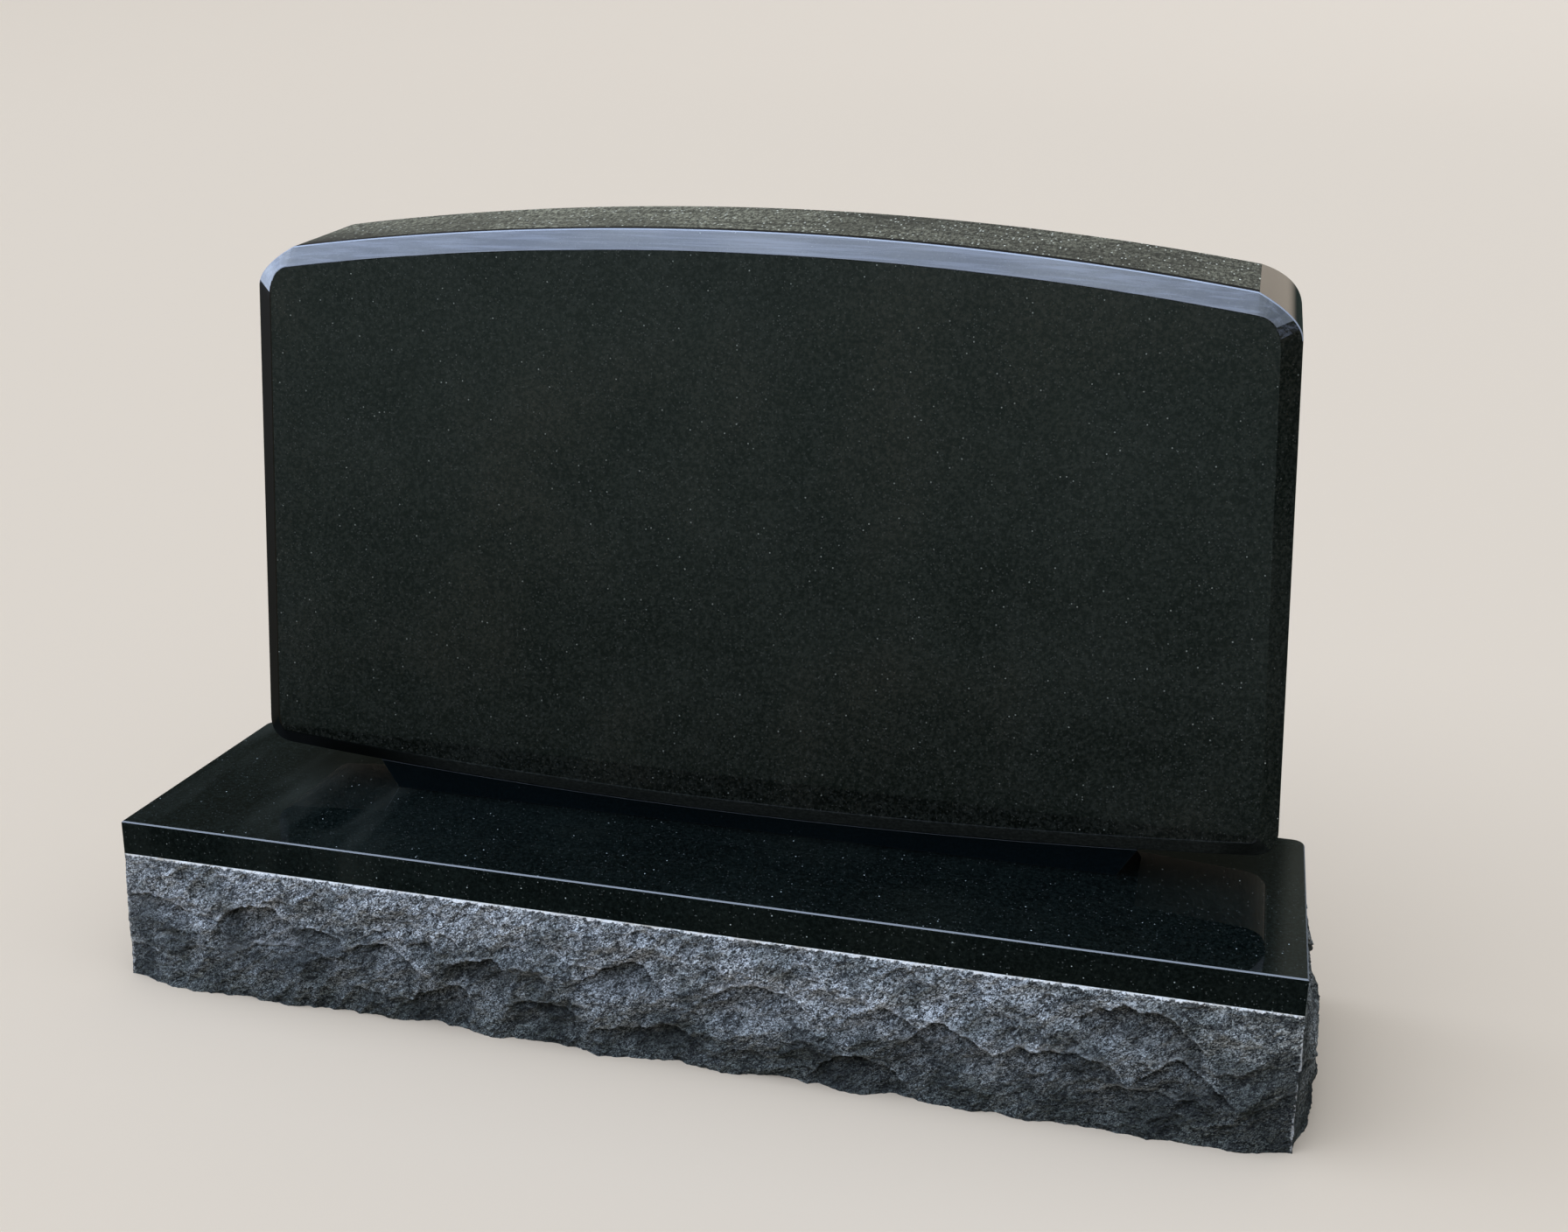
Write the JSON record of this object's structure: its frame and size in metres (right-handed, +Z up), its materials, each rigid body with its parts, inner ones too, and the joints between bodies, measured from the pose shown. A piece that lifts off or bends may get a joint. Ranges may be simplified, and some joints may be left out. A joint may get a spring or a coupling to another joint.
{
  "type": "headstone",
  "caption": "Upright polished black granite headstone: arched tablet on a low setting block and a rock-pitched base, with a plain bare face.",
  "frame": {"origin": "on the ground under the middle of the base", "axes": "+X along the base to the right as seen from the front, +Y from the front to the back, +Z up; the bare face of the tablet looks along -Y"},
  "size_m": [1.428, 0.402, 0.9201],
  "materials": {
    "polished_granite": "polished",
    "setting_granite": "polished",
    "rock_pitched_granite": "rock-pitched sides, polished top and band"
  },
  "bodies": {
    "root": {"base": "rock_pitched_granite", "setting_block": "setting_granite", "tablet": "polished_granite"}
  },
  "joints": []
}
